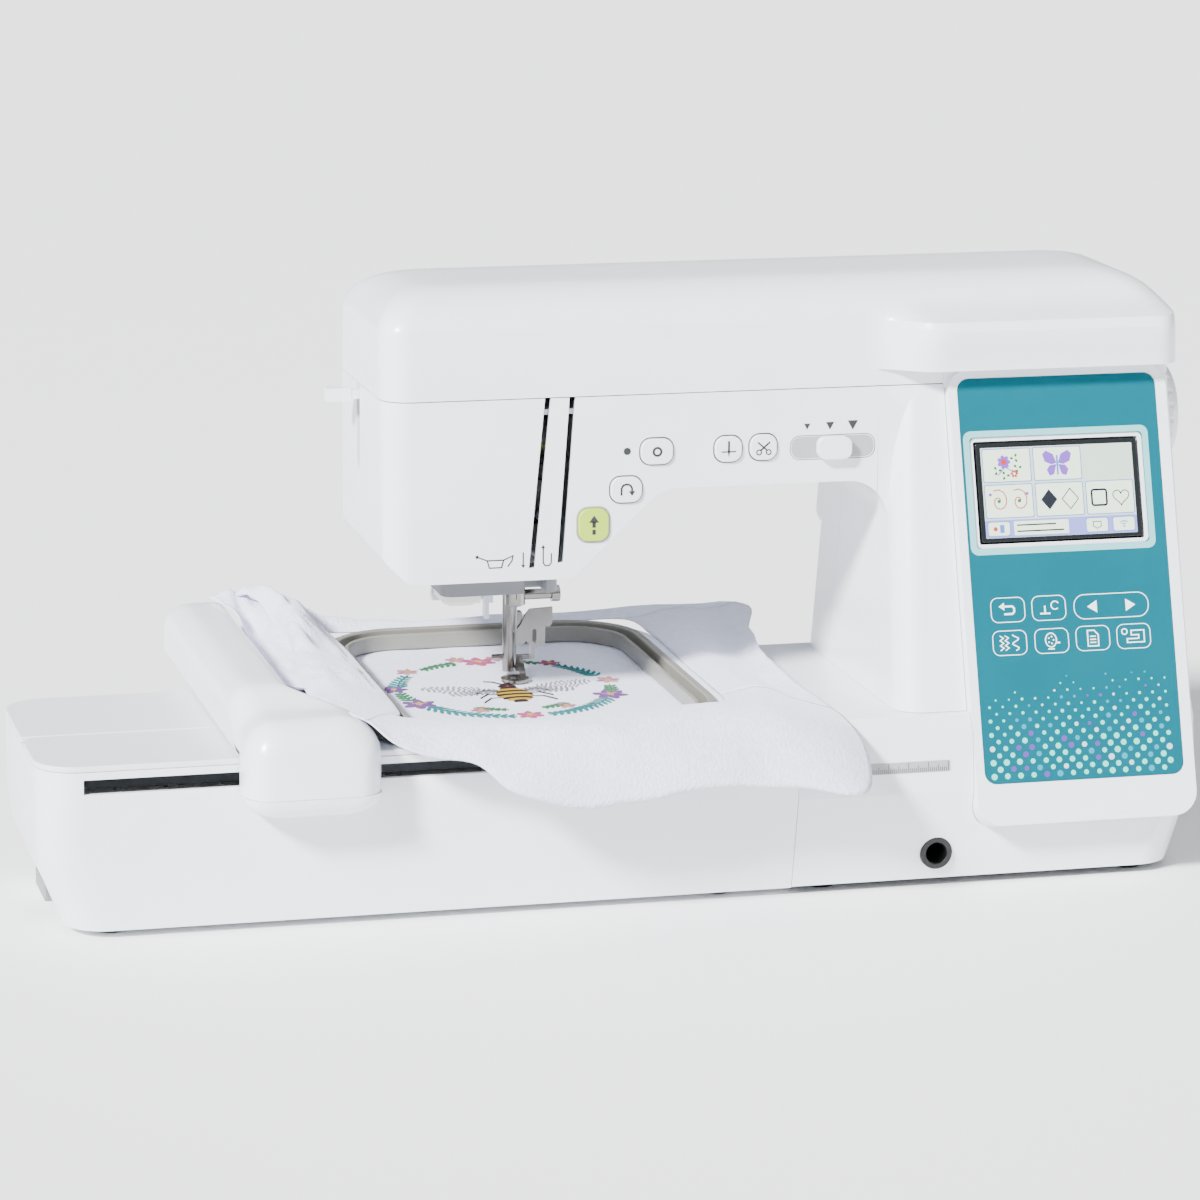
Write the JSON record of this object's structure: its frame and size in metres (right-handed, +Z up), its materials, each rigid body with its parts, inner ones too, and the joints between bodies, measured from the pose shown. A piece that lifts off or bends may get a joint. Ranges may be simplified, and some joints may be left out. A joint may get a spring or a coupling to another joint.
{
  "type": "embroidery machine",
  "caption": "Home embroidery machine: head, arm and column on a base, leaning teal control panel with display, and an embroidery unit with carriage, hoop and hooped cloth.",
  "frame": {"origin": "centre of the object's bounding box, on the surface it stands on", "axes": "+X to the right along the arm and the bed, towards the control panel and the handwheel; +Y to the back; +Z up"},
  "size_m": [0.586, 0.256, 0.289],
  "materials": {
    "white_plastic": "satin moulded plastic, cool white",
    "grey_plastic": "fine matte moulded plastic",
    "rubber": "matte black rubber",
    "teal_film": "printed overlay film with a dot pattern",
    "display_glass": "glossy black display window",
    "steel": "ground steel",
    "nickel": "nickel plate",
    "clear_plastic": "clear moulded plastic",
    "black_plastic": "black moulded plastic",
    "cast_aluminium": "die-cast, unpainted",
    "lamp_plastic": "translucent white lamp cover",
    "green_thread": "wound polyester thread",
    "lit_button": "back-lit yellow-green button",
    "hoop_plastic": "beige-grey satin plastic",
    "cloth": "soft felted cloth"
  },
  "bodies": {
    "machine": {"base_casing": "white_plastic", "front_casing": "white_plastic", "rear_casing": "white_plastic", "bottom_plate": "grey_plastic", "rubber_feet": "rubber", "free_arm_cover": "white_plastic", "panel_frame": "white_plastic", "panel_overlay": "teal_film", "display_module": "display_glass", "needle_plate": "steel", "bobbin_cover": "clear_plastic", "bobbin_case": "black_plastic", "bobbin": "clear_plastic", "frame_casting": "cast_aluminium", "timing_belt": "rubber", "main_motor": "cast_aluminium", "led_lamp": "lamp_plastic", "needle_area_cover": "grey_plastic", "upper_deck": "white_plastic", "spool_pin": "white_plastic", "thread_spool": "green_thread", "power_inlet": "black_plastic", "knee_lifter_socket": "black_plastic", "unit_casing": "white_plastic", "unit_top_plates": "white_plastic", "unit_rail": "steel"},
    "top_cover": {"top_cover": "white_plastic"},
    "main_shaft": {"main_shaft": "steel", "handwheel": "white_plastic"},
    "lower_shaft": {"lower_shaft": "steel"},
    "rotary_hook": {"rotary_hook": "steel"},
    "needle_bar": {"needle_bar": "nickel", "needle_clamp": "nickel", "needle": "steel"},
    "take_up_lever": {"take_up_lever": "steel"},
    "presser_bar": {"presser_bar": "nickel", "embroidery_foot": "nickel"},
    "presser_lifter": {"presser_lifter": "grey_plastic"},
    "threader": {"threader": "white_plastic"},
    "feed_dogs": {"feed_dogs": "steel"},
    "speed_slider": {"speed_slider": "white_plastic"},
    "power_switch": {"power_switch": "black_plastic"},
    "bobbin_winder": {"bobbin_winder": "white_plastic"},
    "unit_release_button": {"unit_release_button": "grey_plastic"},
    "carriage": {"carriage_shell": "white_plastic", "carriage_pan": "white_plastic", "carriage_slider": "black_plastic", "carriage_rail": "steel"},
    "hoop": {"hoop_holder": "grey_plastic", "hoop_outer_frame": "hoop_plastic", "hoop_inner_frame": "hoop_plastic", "hooped_fabric": "cloth", "fabric_flaps": "cloth", "fabric_fold": "cloth"},
    "hoop_screw": {"hoop_screw": "steel"},
    "start_stop_button": {"start_stop_button": "lit_button"},
    "reverse_button": {"reverse_button": "white_plastic"},
    "reinforcement_button": {"reinforcement_button": "white_plastic"},
    "needle_position_button": {"needle_position_button": "white_plastic"},
    "thread_cutter_button": {"thread_cutter_button": "white_plastic"}
  },
  "joints": [
    {"name": "top_cover_hinge", "type": "hinge", "parent": "machine", "child": "top_cover", "pos_m": [0.077, 0.088, 0.24], "axis": [-1, 0, 0], "range_deg": [0, 70]},
    {"name": "handwheel_turn", "type": "hinge", "parent": "machine", "child": "main_shaft", "pos_m": [0.157, 0.028, 0.21], "axis": [1, 0, 0], "range_deg": [0, 180]},
    {"name": "lower_shaft_turn", "type": "hinge", "parent": "machine", "child": "lower_shaft", "pos_m": [0.077, 0.02, 0.046], "axis": [1, 0, 0], "range_deg": [0, 180]},
    {"name": "hook_turn", "type": "hinge", "parent": "machine", "child": "rotary_hook", "pos_m": [-0.044, 0.003, 0.06], "axis": [0, 0, 1], "range_deg": [0, 360]},
    {"name": "needle_bar_slide", "type": "slide", "parent": "machine", "child": "needle_bar", "axis": [0, 0, -1], "range_m": [0, 0.028]},
    {"name": "take_up_swing", "type": "hinge", "parent": "machine", "child": "take_up_lever", "pos_m": [-0.043, 0.006, 0.203], "axis": [1, 0, 0], "range_deg": [0, 36.2]},
    {"name": "presser_lifter_turn", "type": "hinge", "parent": "machine", "child": "presser_lifter", "pos_m": [-0.053, 0.077, 0.172], "axis": [0, -1, 0], "range_deg": [0, 60]},
    {"name": "presser_bar_slide", "type": "slide", "parent": "machine", "child": "presser_bar", "axis": [0, 0, 1], "range_m": [0, 0.007]},
    {"name": "threader_slide", "type": "slide", "parent": "machine", "child": "threader", "axis": [0, 0, -1], "range_m": [0, 0.022], "stiffness_N_per_m": 40, "springref_m": -0.004},
    {"name": "feed_dogs_lift", "type": "slide", "parent": "machine", "child": "feed_dogs", "axis": [0, 0, 1], "range_m": [0, 0.002]},
    {"name": "speed_slider_move", "type": "slide", "parent": "machine", "child": "speed_slider", "axis": [1, 0, 0], "range_m": [-0.014, 0.014]},
    {"name": "power_switch_rock", "type": "hinge", "parent": "machine", "child": "power_switch", "pos_m": [0.269, 0.031, 0.066], "axis": [0, 1, 0], "range_deg": [0, 12]},
    {"name": "bobbin_winder_shift", "type": "slide", "parent": "machine", "child": "bobbin_winder", "axis": [1, 0, 0], "range_m": [0, 0.008]},
    {"name": "unit_release_press", "type": "slide", "parent": "machine", "child": "unit_release_button", "axis": [1, 0, 0], "range_m": [0, 0.003], "stiffness_N_per_m": 400},
    {"name": "carriage_x", "type": "slide", "parent": "machine", "child": "carriage", "axis": [1, 0, 0], "range_m": [-0.048, 0.056]},
    {"name": "hoop_y", "type": "slide", "parent": "carriage", "child": "hoop", "axis": [0, 1, 0], "range_m": [-0.05, 0.098], "deforming": ["fabric_flaps", "fabric_fold"]},
    {"name": "hoop_screw_turn", "type": "hinge", "parent": "hoop", "child": "hoop_screw", "pos_m": [-0.043, -0.1103, 0.092], "axis": [1, 0, 0], "continuous": true},
    {"name": "start_stop_press", "type": "slide", "parent": "machine", "child": "start_stop_button", "axis": [0, 1, 0], "range_m": [0, 0.0015], "stiffness_N_per_m": 400},
    {"name": "reverse_press", "type": "slide", "parent": "machine", "child": "reverse_button", "axis": [0, 1, 0], "range_m": [0, 0.0015], "stiffness_N_per_m": 400},
    {"name": "reinforcement_press", "type": "slide", "parent": "machine", "child": "reinforcement_button", "axis": [0, 1, 0], "range_m": [0, 0.0015], "stiffness_N_per_m": 400},
    {"name": "needle_position_press", "type": "slide", "parent": "machine", "child": "needle_position_button", "axis": [0, 1, 0], "range_m": [0, 0.0015], "stiffness_N_per_m": 400},
    {"name": "thread_cutter_press", "type": "slide", "parent": "machine", "child": "thread_cutter_button", "axis": [0, 1, 0], "range_m": [0, 0.0015], "stiffness_N_per_m": 400}
  ],
  "couplings": [
    {"joint": "lower_shaft_turn", "follows": "handwheel_turn", "ratio": 1},
    {"joint": "hook_turn", "follows": "handwheel_turn", "ratio": 2},
    {"joint": "needle_bar_slide", "follows": "handwheel_turn", "m_per_rad": 0.008912},
    {"joint": "take_up_swing", "follows": "handwheel_turn", "ratio": 0.2},
    {"joint": "presser_lifter_turn", "follows": "presser_bar_slide", "rad_per_m": 149.59}
  ]
}
